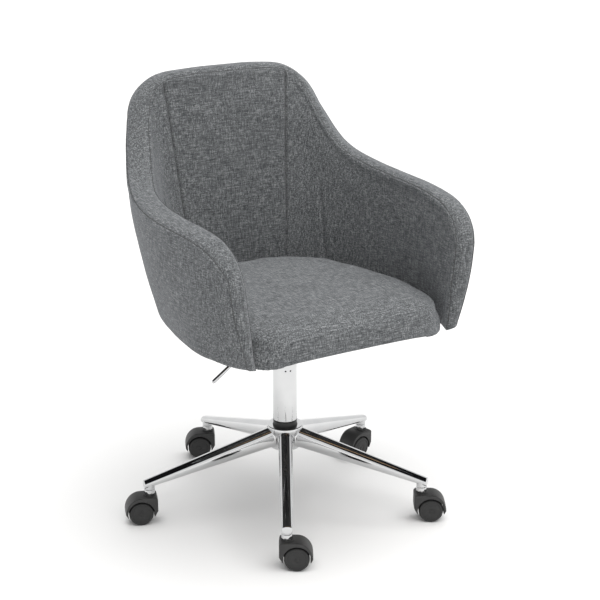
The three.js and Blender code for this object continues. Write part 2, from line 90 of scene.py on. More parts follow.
def make_world():
    """A white cove below and a dim ceiling above, which is what bright chrome shows of a studio."""
    world = bpy.data.worlds.new("studio")
    world.use_nodes = True
    tree = world.node_tree
    where = tree.nodes.new("ShaderNodeTexCoord")
    split = tree.nodes.new("ShaderNodeSeparateXYZ")
    ramp = tree.nodes.new("ShaderNodeValToRGB")
    tree.links.new(where.outputs["Generated"], split.inputs["Vector"])
    tree.links.new(split.outputs["Z"], ramp.inputs["Fac"])
    tree.links.new(ramp.outputs["Color"], tree.nodes["Background"].inputs["Color"])
    stops = ramp.color_ramp.elements
    stops[0].position, stops[0].color = COVE_TOP, (1, 1, 1, 1)
    stops[1].position, stops[1].color = CEILING_START, (*CEILING, 1)
    bpy.context.scene.world = world
    bpy.context.scene.view_settings.view_transform = "Standard"


def make_floor():
    mesh = bpy.data.meshes.new("floor")
    h = FLOOR_HALF
    mesh.from_pydata([(-h, -h, 0), (h, -h, 0), (h, h, 0), (-h, h, 0)], [], [(0, 1, 2, 3)])
    floor = bpy.data.objects.new("floor", mesh)
    bpy.context.scene.collection.objects.link(floor)
    n = Nodes("studio_floor")
    n.set(Base_Color=FLOOR_GREY, Roughness=0.7, Specular_IOR_Level=0.05)
    mesh.materials.append(n.material)


# ---------------------------------------------------------------- materials
class Nodes:
    """One material's node tree, with short calls for the nodes that the materials below share."""

    def __init__(self, name):
        self.material = bpy.data.materials.new(name)
        self.material.use_nodes = True
        self.tree = self.material.node_tree
        self.shader = self.tree.nodes["Principled BSDF"]

    def add(self, kind, **settings):
        node = self.tree.nodes.new(kind)
        for key, value in settings.items():
            setattr(node, key, value)
        return node

    def plug(self, value, socket):
        """Links an output to the socket, or sets the socket to a number or colour."""
        if isinstance(value, bpy.types.NodeSocket):
            self.tree.links.new(value, socket)
        elif isinstance(value, tuple) and len(value) == 3 and len(socket.default_value) == 4:
            socket.default_value = (*value, 1)
        else:
            socket.default_value = value

    def set(self, **values):
        for key, value in values.items():
            self.plug(value, self.shader.inputs[key.replace("_", " ")])

    def place(self):
        return self.add("ShaderNodeTexCoord").outputs["Object"]

    def noise(self, vector, scale, detail=3.0, roughness=0.55, stretch=None):
        node = self.add("ShaderNodeTexNoise")
        if stretch:
            mapping = self.add("ShaderNodeMapping")
            self.plug(vector, mapping.inputs["Vector"])
            mapping.inputs["Scale"].default_value = stretch
            vector = mapping.outputs["Vector"]
        values = {"Vector": vector, "Scale": scale, "Detail": detail, "Roughness": roughness}
        for name, value in values.items():
            self.plug(value, node.inputs[name])
        return node.outputs["Fac"]

    def ramp(self, factor, *stops):
        node = self.add("ShaderNodeValToRGB")
        elements = node.color_ramp.elements
        while len(elements) < len(stops):
            elements.new(0.5)
        for element, (position, colour) in zip(elements, stops):
            element.position = position
            element.color = (*colour, 1) if isinstance(colour, tuple) else (colour, colour, colour, 1)
        self.plug(factor, node.inputs["Fac"])
        return node.outputs["Color"]

    def math(self, operation, a, b=0.0):
        node = self.add("ShaderNodeMath", operation=operation)
        self.plug(a, node.inputs[0])
        self.plug(b, node.inputs[1])
        return node.outputs["Value"]

    def weighted(self, *terms):
        """The sum of (factor, weight) pairs."""
        total = 0.0
        for factor, weight in terms:
            total = self.math("ADD", self.math("MULTIPLY", factor, weight), total)
        return total

    def mix(self, factor, a, b, blend="MIX"):
        node = self.add("ShaderNodeMix", data_type="RGBA", blend_type=blend)
        for index, value in ((0, factor), (6, a), (7, b)):
            self.plug(value, node.inputs[index])
        return node.outputs[2]

    def bump(self, height, strength, distance):
        node = self.add("ShaderNodeBump")
        node.inputs["Strength"].default_value = strength
        node.inputs["Distance"].default_value = distance
        self.plug(height, node.inputs["Height"])
        self.set(Normal=node.outputs["Normal"])


THREAD_PITCH = 1.1 * MM
SLUBS_ALONG, SLUBS_ACROSS = 55.0, 520.0  # slubs per metre, along a thread and across it
FLECKS = 520.0  # per metre


def upholstery_material():
    """Linen-look plain weave in heathered grey, over a raised over-and-under pattern.

    The slubs lie along all three axes, so each face of the padding shows the two that lie in it.
    """
    n = Nodes("grey_linen_weave")
    place = n.place()
    fine, long = SLUBS_ACROSS, SLUBS_ALONG
    stretches = ((long, fine, fine), (fine, long, fine), (fine, fine, long))
    slubs = [n.noise(place, 1.0, 2.0, 0.5, stretch=stretch) for stretch in stretches]
    fleck = n.noise(place, FLECKS, 2.0, 0.6)
    threads = n.weighted(*((slub, 0.32) for slub in slubs), (fleck, 0.12))
    shade = n.ramp(
        threads, (0.42, (0.040, 0.042, 0.044)), (0.50, (0.083, 0.087, 0.090)),
        (0.56, (0.118, 0.123, 0.127)), (0.65, (0.24, 0.247, 0.252)),
    )
    patch = n.ramp(n.noise(place, 7.0), (0.3, (0.92, 0.92, 0.925)), (0.7, 1.0))
    split = n.add("ShaderNodeSeparateXYZ")
    n.plug(place, split.inputs["Vector"])
    turns = (n.math("MULTIPLY", split.outputs[axis], math.pi / THREAD_PITCH) for axis in "XYZ")
    x, y, z = (n.math("SINE", turn) for turn in turns)
    crossing = n.math("ADD", n.math("MULTIPLY", n.math("ADD", x, y), z), n.math("MULTIPLY", x, y))
    n.bump(n.weighted((crossing, 0.15), (threads, 2.2)), 0.6, 0.5 * MM)
    n.set(Base_Color=n.mix(1.0, shade, patch, "MULTIPLY"), Roughness=0.93, Specular_IOR_Level=0.15)
    n.set(Sheen_Weight=0.2, Sheen_Roughness=0.5, Sheen_Tint=(0.8, 0.83, 0.88))
    return n.material


def thread_material(name, dark, light):
    """Twisted sewing thread, with painted shade between its plies."""
    n = Nodes(name)
    twist = n.add("ShaderNodeTexWave", wave_type="BANDS", bands_direction="DIAGONAL")
    twist.inputs["Scale"].default_value = 900
    n.plug(n.place(), twist.inputs["Vector"])
    ply = twist.outputs["Fac"]
    n.bump(ply, 0.4, 0.2 * MM)
    # The ramp darkens the thread between its plies: painted shade.
    n.set(Base_Color=n.ramp(ply, (0, dark), (1, light)), Roughness=0.75)
    return n.material


def chrome_material():
    """Bright chrome plate with the faintest haze and rubbed spots."""
    n = Nodes("chrome_plate")
    haze = n.noise(n.place(), 14.0, 4.0, 0.6)
    rub = n.noise(n.place(), 160.0, 2.0, 0.7)
    n.bump(rub, 0.02, 0.1 * MM)
    n.set(
        Base_Color=n.ramp(haze, (0.3, (0.585, 0.59, 0.597)), (0.7, (0.645, 0.648, 0.65))), Metallic=1.0,
        Roughness=n.math("ADD", n.weighted((haze, 0.05), (rub, 0.03)), 0.01),
    )
    return n.material


def steel_material(name, dark, light, roughness):
    """Drawn or turned steel with fine lines and a little staining."""
    n = Nodes(name)
    grain = n.noise(n.place(), 60.0, 5.0, 0.65, stretch=(1, 1, 14))
    n.bump(grain, 0.15, 0.2 * MM)
    n.set(
        Base_Color=n.ramp(grain, (0.3, dark), (0.7, light)), Metallic=1.0,
        Roughness=n.math("ADD", n.math("MULTIPLY", grain, 0.3), roughness),
    )
    return n.material


def coated_steel_material():
    """Black powder coat: fine orange peel, greyer where it is worn."""
    n = Nodes("black_powder_coat")
    wear = n.noise(n.place(), 35.0, 4.0, 0.7)
    n.bump(n.noise(n.place(), 900.0, 2.0), 0.2, 0.3 * MM)
    n.set(
        Base_Color=n.ramp(wear, (0.45, 0.014), (0.8, 0.036)),
        Roughness=n.math("ADD", n.math("MULTIPLY", wear, 0.25), 0.3),
    )
    return n.material


def plastic_material(name, dark, light, roughness, grain=0.3):
    """Moulded nylon with a fine spark-eroded grain and dust-pale scuffs."""
    n = Nodes(name)
    scuff = n.noise(n.place(), 45.0, 5.0, 0.7)
    n.bump(n.noise(n.place(), 1300.0, 2.0, 0.6), grain, 0.2 * MM)
    n.set(
        Base_Color=n.ramp(scuff, (0.4, dark), (0.75, light)),
        Roughness=n.math("ADD", n.math("MULTIPLY", scuff, 0.2), roughness),
    )
    return n.material


def rubber_material():
    n = Nodes("black_rubber")
    bloom = n.noise(n.place(), 80.0, 4.0, 0.7)
    n.bump(bloom, 0.3, 0.3 * MM)
    n.set(Base_Color=n.ramp(bloom, (0.3, 0.012), (0.8, 0.03)), Roughness=0.8)
    return n.material


def plywood_material():
    """Face veneer with long grain, and the plies banded in height."""
    n = Nodes("plywood")
    grain = n.noise(n.place(), 40.0, 6.0, 0.6, stretch=(1, 12, 12))
    plies = n.add("ShaderNodeTexWave", wave_type="BANDS", bands_direction="Z")
    plies.inputs["Scale"].default_value = 110
    n.plug(n.place(), plies.inputs["Vector"])
    veneer = n.ramp(grain, (0.3, (0.36, 0.22, 0.11)), (0.7, (0.58, 0.41, 0.24)))
    n.bump(grain, 0.2, 0.4 * MM)
    n.set(
        Base_Color=n.mix(n.math("MULTIPLY", plies.outputs["Fac"], 0.25), veneer, (0.25, 0.14, 0.07)),
        Roughness=0.7,
    )
    return n.material


def dust_cloth_material():
    """Black non-woven cloth: a dimpled bond pattern over matted fibres."""
    n = Nodes("black_non_woven")
    dimples = n.add("ShaderNodeTexVoronoi")
    dimples.inputs["Scale"].default_value = 420
    dimples.inputs["Randomness"].default_value = 0.0
    n.plug(n.place(), dimples.inputs["Vector"])
    fibres = n.noise(n.place(), 500.0, 4.0, 0.7, stretch=(1, 3, 1))
    n.bump(n.weighted((dimples.outputs["Distance"], 1.0), (fibres, 0.4)), 0.5, 0.4 * MM)
    n.set(Base_Color=n.ramp(fibres, (0.3, 0.008), (0.75, 0.035)), Roughness=0.95, Sheen_Weight=0.1)
    return n.material


FABRIC = upholstery_material()
THREAD = thread_material("grey_thread", 0.05, 0.11)
# Darker cord laid along the seams: painted shade of the seam grooves.
SEAM_SHADOW_CORD = thread_material("seam_shadow_cord", 0.03, 0.06)
CHROME = chrome_material()
STEEL = steel_material("zinc_steel", 0.38, 0.62, 0.2)
# Dark steel for the column's dimples: painted reflection of the screws under the seat.
DIMPLE_REFLECTION_DARK = steel_material("dimple_reflection_dark", 0.03, 0.07, 0.3)
COATED = coated_steel_material()
NYLON = plastic_material("hood_nylon", 0.019, 0.030, 0.40)
WHEEL_NYLON = plastic_material("wheel_nylon", 0.013, 0.020, 0.42)
BUSH_NYLON = plastic_material("bush_nylon", 0.006, 0.012, 0.3, 0.1)
SLOT_MATERIALS = {
    "chrome": CHROME, "steel": STEEL, "black_steel": COATED, "black_plastic": NYLON,
    "wheel_nylon": WHEEL_NYLON, "rubber": rubber_material(), "plywood": plywood_material(),
    "upholstery": FABRIC, "dust_cloth": dust_cloth_material(),
}


def dress_cad_nodes():
    """Gives each CAD node the full material of its slot."""
    for part in frame["record"]["subparts"]:
        for slot in frame["nodes"][part["node"]].material_slots:
            slot.material = SLOT_MATERIALS[part["material_slot"]]


# ---------------------------------------------------------------- mesh helpers
def piece(name, bm, material, body, slot, *nodes, sharp=40):
    """A shown object from a bmesh that is in place: smooth, with edges sharper than the angle kept crisp."""
    bmesh.ops.recalc_face_normals(bm, faces=bm.faces)
    limit = math.radians(sharp)
    for edge in bm.edges:
        edge.smooth = not (len(edge.link_faces) == 2 and edge.calc_face_angle(0) > limit)
    for face in bm.faces:
        face.smooth = True
    mesh = bpy.data.meshes.new(name)
    bm.to_mesh(mesh)
    bm.free()
    mesh.materials.append(material)
    obj = bpy.data.objects.new(name, mesh)
    bpy.context.scene.collection.objects.link(obj)
    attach(obj, body)
    if nodes:
        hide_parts(*nodes)
    return obj


def add_rings(bm, rings, close_ends=True, loop=False, matrix=Matrix(), scale=MM):
    """Skins rings of points in mm, all with the same count; loop joins the last ring to the first."""
    rows = [[bm.verts.new(matrix @ Vector(p) * scale) for p in ring] for ring in rings]
    pairs = list(zip(rows, rows[1:])) + ([(rows[-1], rows[0])] if loop else [])
    for low, high in pairs:
        count = len(low)
        for k in range(count):
            bm.faces.new((low[k], low[(k + 1) % count], high[(k + 1) % count], high[k]))
    if close_ends and not loop:
        bm.faces.new(rows[0][::-1])
        bm.faces.new(rows[-1])
    return rows


def circle(radius, sides, z=0.0):
    turns = (2 * math.pi * k / sides for k in range(sides))
    return [(radius * math.cos(a), radius * math.sin(a), z) for a in turns]


def add_turned(bm, profile, sides=64, matrix=Matrix()):
    """Turns a profile of (radius, height) in mm about Z.

    The profile starts and ends on the axis, or closes on itself.
    """
    solid = profile[0][0] == 0
    rings = [circle(max(r, 0.02), sides, z) for r, z in profile]
    add_rings(bm, rings, close_ends=solid, loop=not solid, matrix=matrix)


def rounded(profile, radius, steps=4):
    """The profile, in mm, with its corners off the axis rounded to about the radius."""
    out = []
    for i, p in enumerate(profile):
        here = Vector(p)
        a = Vector(profile[i - 1]) - here
        b = Vector(profile[(i + 1) % len(profile)]) - here
        if p[0] == 0:
            out.append(p)
            continue
        reach = min(radius, a.length * 0.48, b.length * 0.48)
        start, end = here + a.normalized() * reach, here + b.normalized() * reach
        for k in range(steps + 1):
            t = k / steps
            q = start * (1 - t) ** 2 + here * (2 * t * (1 - t)) + end * t ** 2
            out.append((q.x, q.y))
    return out


def turned_piece(name, profile, material, body, slot, *nodes, radius=0.6, sides=64, matrix=Matrix()):
    bm = bmesh.new()
    add_turned(bm, rounded(profile, radius), sides, matrix)
    return piece(name, bm, material, body, slot, *nodes, sharp=50)


def at(x, y, z=0.0, turn=0.0):
    """A matrix in mm that turns about Z, then moves."""
    return Matrix.Translation((x, y, z)) @ Matrix.Rotation(turn, 4, "Z")


# ---------------------------------------------------------------- base, in mm
LEGS = range(1, 6)
HUB_R, HUB_BORE, HUB_BOTTOM, HUB_TOP = 31.0, 25.0, 127.0, 176.5
COLLAR_R, COLLAR_HEIGHT, COLLAR_FLARE = 38.0, 7.0, 22.0  # the rim round the bush, and where its flare starts
BUSH_INNER_R, BUSH_OUTER_R, BUSH_TOP = 22.9, 24.7, 187.2
ROOT = {"half": 15.8, "bottom": 130.5, "top": 175.5, "x": 23.0}
TIP = {"half": 11.2, "bottom": 79.0, "top": 96.5, "x": 289.0}
SOCKET_R, SOCKET_BOTTOM, SOCKET_TOP = 11.0, 64.3, 88.0  # the shown top is inside the leg's end
STEM_BORE_R, STEM_BORE_TOP = 5.9, 85.0
GROOVE_BOTTOM, GROOVE_TOP, GROOVE_DEPTH = 72.6, 74.6, 0.7
LEG_END = 305.2
SQUARENESS = 0.8
FILLET, FILLET_REACH = 2.2, 1.6


def leg_section(x, share_of_size=1.0, sides=56):
    """The leg's oval section at x, with a weld fillet against the hub."""
    share = (x - ROOT["x"]) / (TIP["x"] - ROOT["x"])
    half, bottom, top = (ROOT[k] + (TIP[k] - ROOT[k]) * share for k in ("half", "bottom", "top"))
    middle, high = (top + bottom) / 2, (top - bottom) / 2 * share_of_size
    half *= share_of_size
    ring = []
    for k in range(sides):
        a = 2 * math.pi * k / sides
        c, s = (math.copysign(abs(f(a)) ** SQUARENESS, f(a)) for f in (math.cos, math.sin))
        y, z = half * c, high * s
        gap = max(math.hypot(x, y) - HUB_R, 0)
        grow = 1 + FILLET * math.exp(-gap / FILLET_REACH) / math.hypot(y, z)
        ring.append((x, y * grow, middle + z * grow))
    return ring


def make_base():
    hub = [
        (HUB_BORE, HUB_BOTTOM), (HUB_R, HUB_BOTTOM), (HUB_R, HUB_TOP - COLLAR_FLARE),
        (COLLAR_R, HUB_TOP - COLLAR_HEIGHT), (COLLAR_R, HUB_TOP), (HUB_BORE, HUB_TOP),
    ]
    turned_piece("hub_shell", hub, CHROME, "base", "chrome", "hub", radius=1.6, sides=96)
    foot = HUB_BOTTOM + 0.5
    bush = [(BUSH_INNER_R, foot), (BUSH_OUTER_R, foot), (BUSH_OUTER_R, BUSH_TOP), (BUSH_INNER_R, BUSH_TOP)]
    turned_piece("hub_bush_ring", bush, BUSH_NYLON, "base", "black_plastic", "hub_bush", sides=80)
    near_root = [*range(26, 35), 35.5, 37.5, 41]
    stations = near_root + [60, 100, 150, 200, 240, 265, 285, 298, LEG_END - 1.4]
    end = [(LEG_END - 0.9, 0.99), (LEG_END - 0.4, 0.965), (LEG_END - 0.1, 0.93), (LEG_END, 0.88)]
    for number in LEGS:
        stem = Vector(JOINTS[f"caster_swivel_{number}"]["pos_m"]) / MM
        arm = Matrix.Rotation(math.atan2(stem.y, stem.x), 4, "Z")
        bm = bmesh.new()
        sections = [leg_section(x) for x in stations] + [leg_section(*pair) for pair in end]
        add_rings(bm, sections, matrix=arm)
        piece(f"leg_tube_{number}", bm, CHROME, "base", "chrome", f"leg_{number}", sharp=50)
        waist = SOCKET_R - GROOVE_DEPTH
        socket = [
            (0, STEM_BORE_TOP), (STEM_BORE_R, STEM_BORE_TOP), (STEM_BORE_R, SOCKET_BOTTOM),
            (SOCKET_R, SOCKET_BOTTOM), (SOCKET_R, GROOVE_BOTTOM), (waist, GROOVE_BOTTOM + 0.6),
            (waist, GROOVE_TOP - 0.6), (SOCKET_R, GROOVE_TOP), (SOCKET_R, SOCKET_TOP), (0, SOCKET_TOP),
        ]
        turned_piece(
            f"leg_socket_cup_{number}", socket, CHROME, "base", "chrome", f"leg_socket_{number}",
            radius=0.7, sides=48, matrix=at(stem.x, stem.y),
        )


# ---------------------------------------------------------------- casters, in mm
WHEEL_R, WHEEL_WIDTH, WHEEL_INNER, AXLE_BORE = 25.0, 14.0, 7.6, 3.3
TRAIL = 19.0
HOOD_HALF, HOOD_INNER_R, HOOD_OUTER_R = 20.4, 27.2, 31.5
HOOD_TOP, HOOD_BACK, HOOD_TIP, HOOD_WEB = 61.6, 15.4, 18.5, 6.6
HOOD_CORNER, HOOD_EDGE = 6.0, 1.8
BOSS_R, BOSS_BORE, BOSS_FOOT, BOSS_STEP = 13.4, 4.8, 44.0, 1.6
LUG_R = 9.0  # of the web, round the axle


def hood_outline(grow):
    """The hood's side outline (x, z), grown by so many mm: out over the arch, then back in its hollow."""
    tip = math.asin((HOOD_TIP - WHEEL_R) / HOOD_INNER_R)
    top = HOOD_TOP - BOSS_STEP
    out_r, in_r = HOOD_OUTER_R + grow, HOOD_INNER_R - grow * 0.3
    low = HOOD_TIP - grow * 0.5
    back = -HOOD_BACK - grow
    corner = HOOD_CORNER
    points = [(TRAIL - in_r * math.cos(tip) - 1.5 - grow * 0.6, low), (back, 30.0)]
    points += [(back, z) for z in np.linspace(33, top + grow - corner, 8)]
    for a in np.linspace(math.pi, math.pi / 2, 7)[1:]:
        middle = (back + corner, top + grow - corner)
        points.append((middle[0] + corner * math.cos(a), middle[1] + corner * math.sin(a)))
    points += [(x, top + grow) for x in np.linspace(back + corner + 3, TRAIL - 3, 8)]
    for a in np.linspace(math.pi / 2, 0, 24):
        high = top + grow - WHEEL_R
        points.append((TRAIL + out_r * math.cos(a), WHEEL_R + high * math.sin(a)))
    points.append((TRAIL + in_r * math.cos(tip) + 1.5 + grow * 0.6, low))
    for a in np.linspace(tip, math.pi - tip, 44):
        points.append((TRAIL + in_r * math.cos(a), WHEEL_R + in_r * math.sin(a)))
    return points


def make_hood(number, matrix):
    """The arched hood with rounded edges, the stem's boss, and the web between the wheels."""
    bm = bmesh.new()
    # Levels as (distance from the hood's middle, growth of the outline), from one rounded edge to the other.
    levels = [(HOOD_HALF, -1.1), (HOOD_HALF - 0.25, -0.55), (HOOD_HALF - 0.8, -0.15)]
    levels += [(HOOD_HALF - HOOD_EDGE, 0.0), (6.0, 0.25), (0.0, 0.35)]
    levels += [(-y, grow) for y, grow in levels[-2::-1]]
    add_rings(bm, [[(x, y, z) for x, z in hood_outline(grow)] for y, grow in levels], matrix=matrix)
    boss = [(BOSS_BORE, BOSS_FOOT), (BOSS_R, BOSS_FOOT), (BOSS_R, HOOD_TOP), (BOSS_BORE, HOOD_TOP)]
    add_turned(bm, rounded(boss, 1.0), 40, matrix)
    web = HOOD_WEB - 0.2
    plate = [(-9.0, WHEEL_R), (TRAIL - LUG_R, WHEEL_R)]
    for a in np.linspace(math.pi, 2 * math.pi, 14):
        plate.append((TRAIL + LUG_R * math.cos(a), WHEEL_R + LUG_R * math.sin(a)))
    plate += [(TRAIL + 11, WHEEL_R), (TRAIL + 16, WHEEL_R + 21), (TRAIL, WHEEL_R + HOOD_INNER_R + 1)]
    plate += [(-4.0, WHEEL_R + 15), (-9.0, WHEEL_R + 8)]
    rings = []
    for y, inset in ((web, 0.7), (web - 0.7, 0), (-web + 0.7, 0), (-web, 0.7)):
        along, up = inset / 40, inset / 30
        rings.append([(x + (TRAIL - x) * along, y, z + (WHEEL_R + 8 - z) * up) for x, z in plate])
    add_rings(bm, rings, matrix=matrix)
    body, node = f"caster_{number}", f"caster_hood_{number}"
    piece(f"hood_shell_{number}", bm, NYLON, body, "black_plastic", node, sharp=45)


def wheel_profile():
    """A caster wheel's half section (radius, height) in mm: raised rim, grooved face and low hub cap."""
    r, w = WHEEL_R, WHEEL_WIDTH
    rim = [
        (r - 1.6, 0.0), (r - 0.5, 0.5), (r, 1.8), (r, w - 5.2), (r - 0.35, w - 3.2), (r - 1.3, w - 1.5),
        (r - 2.6, w - 0.5), (r - 4.0, w - 0.15), (r - 5.0, w - 0.5), (r - 5.6, w - 1.15), (r - 6.4, w - 1.2),
    ]
    face = [(r - 7.2, w - 0.85), (r * 0.45, w - 0.55)]
    cap = [(5.4, w - 0.5), (5.0, w - 0.9), (4.4, w - 0.9), (4.0, w - 0.45), (0, w - 0.35)]
    return [(0, w - 4), (AXLE_BORE, w - 4), (AXLE_BORE, 0)] + rim + face + cap


def make_casters():
    for number in LEGS:
        stem = Vector(JOINTS[f"caster_swivel_{number}"]["pos_m"]) / MM
        axle = Vector(JOINTS[f"wheel_spin_{number}a"]["pos_m"]) / MM
        turn = math.atan2(axle.y - stem.y, axle.x - stem.x)
        make_hood(number, at(stem.x, stem.y, 0, turn))
        upright = at(axle.x, axle.y, axle.z, turn) @ Matrix.Rotation(math.pi / 2, 4, "X")
        for side, letter in ((1, "a"), (-1, "b")):
            flip = Matrix() if side > 0 else Matrix.Rotation(math.pi, 4, "X")
            bm = bmesh.new()
            place = upright @ Matrix.Translation((0, 0, side * WHEEL_INNER)) @ flip
            add_turned(bm, wheel_profile(), 72, place)
            name = f"wheel_{number}{letter}"
            piece(f"{name}_tyre", bm, WHEEL_NYLON, name, "wheel_nylon", name, sharp=50)


# ---------------------------------------------------------------- gas lift and lever, in mm
COLUMN_R, COLUMN_FOOT, COLUMN_TOP = 25.0, 189.0, 336.0
LEVER_R, LEVER_Z, LEVER_PIVOT_X = 4.0, 383.0, -33.0
LEVER_BEND_X, LEVER_TIP = -52.0, (-166.0, 304.0)
KNUCKLE_R, KNUCKLE_BORE, KNUCKLE_HALF = 7.0, 3.3, 6.0
DIMPLE_ANGLES, DIMPLE_DROP = (-117, -93, 63, 87), 34.0  # degrees, and mm below the column's top


def make_lift():
    tube = [
        (6.2, 126), (22.0, 126), (22.4, COLUMN_FOOT - 1.5), (COLUMN_R, COLUMN_FOOT),
        (COLUMN_R, COLUMN_TOP), (20.3, COLUMN_TOP), (20.3, 290), (19.2, 290), (19.2, 129), (6.2, 129),
    ]
    turned_piece("column_cover", tube, CHROME, "base", "chrome", "column_tube", radius=0.8, sides=96)
    bush = [(14.3, 290.5), (20, 290.5), (20, 336.3), (23, 336.3), (22.4, 338.4), (14.3, 338.4)]
    turned_piece("guide_collar", bush, BUSH_NYLON, "base", "black_plastic", "guide_bush", sides=64)
    cylinder = [
        (5.3, 160), (14, 160), (14, 343), (13.6, 372), (3.3, 372), (3.3, 340), (11, 340), (11, 176),
        (5.3, 176),
    ]
    turned_piece("gas_cylinder_tube", cylinder, COATED, "seat", "black_steel", "gas_cylinder", radius=0.8)
    # Punched dimples under the column's top edge hold the guide bush; their dark steel paints the reflection of
    # the screws under the seat as dark dots.
    bm = bmesh.new()
    dimple = [(0, 0), (1.9, 0), (1.9, 0.25), (1.2, 0.45), (0, 0.5)]
    for angle in DIMPLE_ANGLES:
        turn = Matrix.Rotation(math.radians(angle), 4, "Z")
        out = turn @ Matrix.Translation((COLUMN_R - 0.3, 0, COLUMN_TOP - DIMPLE_DROP))
        add_turned(bm, dimple, 16, out @ Matrix.Rotation(math.pi / 2, 4, "Y"))
    piece("column_dimples", bm, DIMPLE_REFLECTION_DARK, "base", "steel")


def add_tube(bm, path, radius, sides=24, tip=False):
    """A round rod along points in mm in a plane of constant Y; its last end is domed where tip is true."""
    spots = [(x, y) for x, y, _ in circle(1.0, sides)]
    rings = []
    for i, p in enumerate(path):
        way = Vector(path[min(i + 1, len(path) - 1)]) - Vector(path[max(i - 1, 0)])
        way.normalize()
        across, up = Vector((0, 1, 0)), way.cross(Vector((0, 1, 0)))
        rings.append([Vector(p) + (across * c + up * s) * radius for c, s in spots])
        if tip and i == len(path) - 1:
            for a in (20, 40, 60, 75, 86):
                c0, s0 = math.cos(math.radians(a)), math.sin(math.radians(a))
                centre = Vector(p) + way * radius * s0
                rings.append([centre + (across * c + up * s) * radius * c0 for c, s in spots])
    add_rings(bm, rings)


def make_lever():
    tip_x, tip_z = LEVER_TIP
    bend = Vector((LEVER_BEND_X, 0, LEVER_Z))
    slope = (Vector((tip_x, 0, tip_z)) - bend).normalized()
    before, after = bend + Vector((12, 0, 0)), bend + slope * 12
    path = [Vector((7, 0, LEVER_Z)), Vector((-20, 0, LEVER_Z)), before]
    for t in np.linspace(0, 1, 11)[1:]:
        path.append(before * (1 - t) ** 2 + bend * (2 * t * (1 - t)) + after * t ** 2)
    path += [after.lerp(Vector((tip_x, 0, tip_z)), t) for t in (0.33, 0.66, 1.0)]
    bm = bmesh.new()
    add_tube(bm, path, LEVER_R, tip=True)
    low, high = -KNUCKLE_HALF, KNUCKLE_HALF
    knuckle = [(KNUCKLE_BORE, low), (KNUCKLE_R, low), (KNUCKLE_R, high), (KNUCKLE_BORE, high)]
    hinge = Matrix.Translation((LEVER_PIVOT_X, 0, LEVER_Z)) @ Matrix.Rotation(math.pi / 2, 4, "X")
    add_turned(bm, rounded(knuckle, 0.8), 32, hinge)
    piece("height_lever_rod", bm, CHROME, "lever", "chrome", "height_lever")


# ---------------------------------------------------------------- tub wall, in mm, as in the CAD model
SEAT_LEVEL, TUB_BOTTOM = 480.0, 430.0
WALL_RIM, WALL_FOOT, NOSE_RIM, NOSE_FOOT, WALL_BELLY = 50.0, 40.0, 40.0, 19.0, 7.0
ARM_DROP, SLOPE_DROP = 8.0, 20.0
# From the middle of the back to an arm's front edge: the seat line (x, y), the rim's inner edge (x, y, z).
STATIONS = [
    ((0, 201), (0, 239, 880)), ((56, 198), (76, 239, 879)), ((106, 186), (136, 238, 872)),
    ((142, 167), (171, 231, 847)), ((169, 141), (189, 210, 803)), ((190, 112), (204, 178, 753)),
    ((206, 77), (222, 136, 711)), ((219, 36), (241, 78, 687)), ((230, -22), (253, 5, 677)),
    ((238, -85), (255, -75, 673)), ((240, -140), (250, -142, 669)), ((234, -195), (243, -200, 659)),
    ((227, -235), (238, -240, 634)), ((220, -260), (233, -258, 598)),
]
BOTH_SIDES = [((-a[0], a[1]), (-b[0], b[1], b[2])) for a, b in reversed(STATIONS[1:])] + STATIONS
SEAT_LINE = np.array([(*a, SEAT_LEVEL) for a, b in BOTH_SIDES], float)
RIM_LINE = np.array([b for a, b in BOTH_SIDES], float)


def smoothstep(x, low, high):
    t = np.clip((x - low) / (high - low), 0, 1)
    return t * t * (3 - 2 * t)


def spline(points, t):
    """A uniform Catmull-Rom curve through the points, and its tangent, at t from 0 to 1."""
    place = np.asarray(t) * (len(points) - 1)
    i = np.clip(np.floor(place).astype(int), 0, len(points) - 2)
    w = (place - i)[..., None]
    ends = np.vstack([2 * points[0] - points[1], points, 2 * points[-1] - points[-2]])
    p0, p1, p2, p3 = (ends[i + k] for k in range(4))
    m0, m1 = (p2 - p0) / 2, (p3 - p1) / 2
    a, b = 2 * p1 - 2 * p2 + m0 + m1, -3 * p1 + 3 * p2 - 2 * m0 - m1
    return ((a * w + b) * w + m0) * w + p1, (3 * a * w + 2 * b) * w + m0


def unit(vectors):
    return vectors / (np.linalg.norm(vectors, axis=-1, keepdims=True) + 1e-12)


def wall(t, v, depth):
    """A point of the wall: t along the rim, v up the wall, depth 0 on the inner face and 1 on the outer."""
    t, v, depth = np.broadcast_arrays(*(np.asarray(x, float) for x in (t, v, depth)))
    foot, foot_way = spline(SEAT_LINE, t)
    rim, rim_way = spline(RIM_LINE, t)
    up = rim - foot
    low = (TUB_BOTTOM - SEAT_LEVEL) / up[..., 2]
    point = foot + up * (low + (1 - low) * v)[..., None]
    along = unit((unit(foot_way) + unit(rim_way)) * (1, 1, 0))
    outward = np.stack([-along[..., 1], along[..., 0], np.zeros_like(t)], -1)
    nose = smoothstep(np.abs(2 * t - 1), 0.8, 1.0)
    foot_width = WALL_FOOT + (NOSE_FOOT - WALL_FOOT) * nose
    rim_width = WALL_RIM + (NOSE_RIM - WALL_RIM) * nose
    width = foot_width + (rim_width - foot_width) * v + WALL_BELLY * 4 * v * (1 - v)
    point = point + outward * (depth * width)[..., None]
    drop = ARM_DROP + (SLOPE_DROP - ARM_DROP) * smoothstep(rim[..., 2], 680, 740)
    point[..., 2] -= drop * (1 - smoothstep(rim[..., 2], 790, 870)) * v * depth
    return point


def lengths(points):
    return np.concatenate([[0], np.cumsum(np.linalg.norm(np.diff(points, axis=0), axis=1))])


